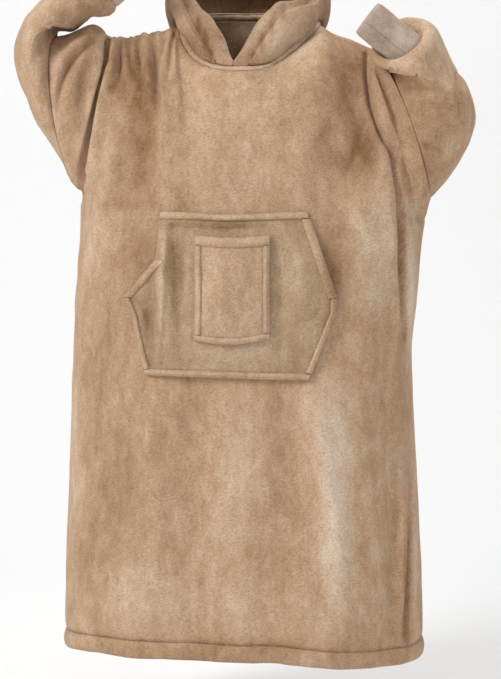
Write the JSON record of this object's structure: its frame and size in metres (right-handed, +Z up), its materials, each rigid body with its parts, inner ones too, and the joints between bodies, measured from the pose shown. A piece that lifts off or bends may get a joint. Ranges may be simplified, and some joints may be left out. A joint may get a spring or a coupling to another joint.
{
  "type": "wearable blanket, oversized hooded pullover in plush fleece, worn with the arms raised",
  "caption": "Oversized hooded plush pullover blanket with wide batwing sleeves, knitted cuffs, a kangaroo pocket and a phone pocket, in its worn, hollow form.",
  "frame": {"origin": "centre of the neck opening at shoulder height, where the wearer's shoulders carry the garment", "axes": "+X to the viewer's right in the front view, +Y to the garment's back, +Z up towards the hood"},
  "size_m": [0.6692, 0.3682, 1.0423],
  "materials": {
    "plush_body": "brushed plush fleece, khaki",
    "plush_pocket": "brushed plush fleece, nap lying the other way",
    "plush_hood": "brushed plush fleece",
    "knit_cuff": "fine smooth knit"
  },
  "bodies": {
    "root": {"front_panel": "plush_body", "back_panel": "plush_body", "hem_band": "plush_body", "sleeve_left": "plush_body", "sleeve_right": "plush_body", "cuff_left": "knit_cuff", "cuff_right": "knit_cuff", "neck_seam": "plush_body", "hood_left": "plush_hood", "hood_right": "plush_hood", "hood_band_left": "plush_hood", "hood_band_right": "plush_hood", "kangaroo_pocket": "plush_pocket", "phone_pocket": "plush_pocket", "pocket_top_binding": "plush_pocket", "hand_binding_left": "plush_pocket", "hand_binding_right": "plush_pocket", "pocket_welt_left": "plush_pocket", "pocket_welt_right": "plush_pocket", "pocket_welt_bottom": "plush_pocket", "phone_pocket_hem": "plush_pocket", "phone_welt_left": "plush_pocket", "phone_welt_right": "plush_pocket", "phone_welt_bottom": "plush_pocket"}
  },
  "joints": []
}
